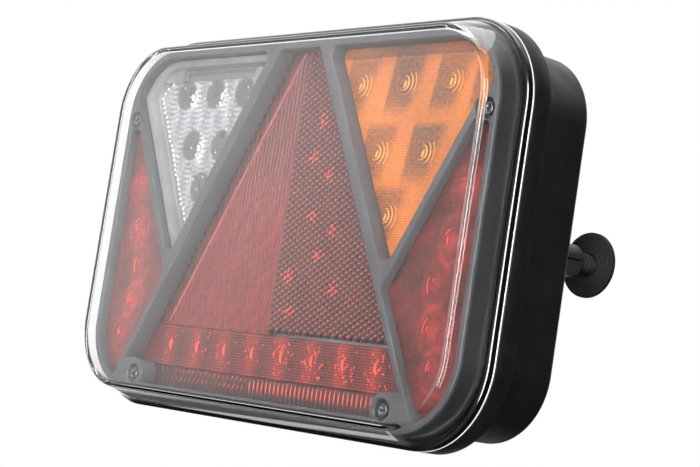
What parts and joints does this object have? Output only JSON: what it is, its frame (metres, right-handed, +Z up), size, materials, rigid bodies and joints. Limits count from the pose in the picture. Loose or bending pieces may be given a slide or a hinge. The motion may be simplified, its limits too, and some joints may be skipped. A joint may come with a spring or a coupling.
{
  "type": "trailer tail light",
  "caption": "Rectangular rear combination lamp with a clear cover, triangular reflector, coloured function windows and rear clamping studs.",
  "frame": {"origin": "centre of the housing's flat back face, midway between the two studs", "axes": "+X to the right seen from the front, +Y from the face towards the back, +Z up"},
  "size_m": [0.24, 0.0956, 0.1574],
  "materials": {
    "clear_lens": "clear polished acrylic",
    "charcoal_bezel": "fine satin moulded surface",
    "black_plastic": "satin black moulded surface",
    "rubber": "soft black rubber",
    "coated_washer": "black rubber-faced washer",
    "steel_screw": "bright zinc",
    "black_steel": "black passivated steel",
    "amber_lens": "amber prismatic acrylic",
    "red_lens": "red ribbed acrylic",
    "red_reflector": "red corner-cube reflector",
    "silver_tray": "vacuum-metallised plastic",
    "grey_carrier": "light grey moulded plastic",
    "led_board": "white solder mask",
    "driver_board": "green solder mask",
    "brass_pin": "plated brass",
    "loom_sleeve": "braided sleeve"
  },
  "bodies": {
    "lamp": {"bezel_frame": "charcoal_bezel", "bezel_screw_bottom_left": "steel_screw", "bezel_screw_bottom_right": "steel_screw", "bezel_screw_top_left": "steel_screw", "bezel_screw_top_right": "steel_screw", "brake_led_board": "led_board", "brake_lens": "red_lens", "centre_tail_lens": "red_lens", "driver_board": "driver_board", "driver_screw_1": "steel_screw", "driver_screw_2": "steel_screw", "driver_screw_3": "steel_screw", "driver_screw_4": "steel_screw", "fog_lens": "red_reflector", "housing": "black_plastic", "indicator_led_board": "led_board", "indicator_lens": "amber_lens", "inlet_pin_1": "brass_pin", "inlet_pin_2": "brass_pin", "inlet_pin_3": "brass_pin", "inlet_pin_4": "brass_pin", "inlet_pin_5": "brass_pin", "inlet_seal": "rubber", "inlet_socket": "black_plastic", "inner_carrier": "grey_carrier", "lens_cover": "clear_lens", "lens_gasket": "rubber", "reflex_reflector": "red_reflector", "reverse_led_board": "led_board", "reverse_lens": "clear_lens", "reverse_reflector": "silver_tray", "spacer_sleeve_left": "black_plastic", "spacer_sleeve_right": "black_plastic", "stud_left": "black_steel", "stud_right": "black_steel", "supply_loom": "loom_sleeve", "tail_led_board_left": "led_board", "tail_led_board_right": "led_board", "tail_lens_left": "red_lens", "tail_lens_right": "red_lens", "vent_plug": "rubber"},
    "washer_left": {"clamp_washer_left": "coated_washer"},
    "nut_left": {"clamp_nut_left": "black_steel"},
    "washer_right": {"clamp_washer_right": "coated_washer"},
    "nut_right": {"clamp_nut_right": "black_steel"}
  },
  "joints": [
    {"name": "nut_left_travel", "type": "slide", "parent": "lamp", "child": "washer_left", "axis": [0, 1, 0], "range_m": [-0.00737, 0.0025]},
    {"name": "nut_left_turn", "type": "hinge", "parent": "washer_left", "child": "nut_left", "pos_m": [-0.092, 0.036, 0], "axis": [0, 1, 0], "range_deg": [-2126, 722]},
    {"name": "nut_right_travel", "type": "slide", "parent": "lamp", "child": "washer_right", "axis": [0, 1, 0], "range_m": [-0.00737, 0.0025]},
    {"name": "nut_right_turn", "type": "hinge", "parent": "washer_right", "child": "nut_right", "pos_m": [0.092, 0.036, 0], "axis": [0, 1, 0], "range_deg": [-2126, 722]}
  ],
  "couplings": [
    {"joint": "nut_left_turn", "follows": "nut_left_travel", "rad_per_m": 5026.5},
    {"joint": "nut_right_turn", "follows": "nut_right_travel", "rad_per_m": 5026.5}
  ]
}
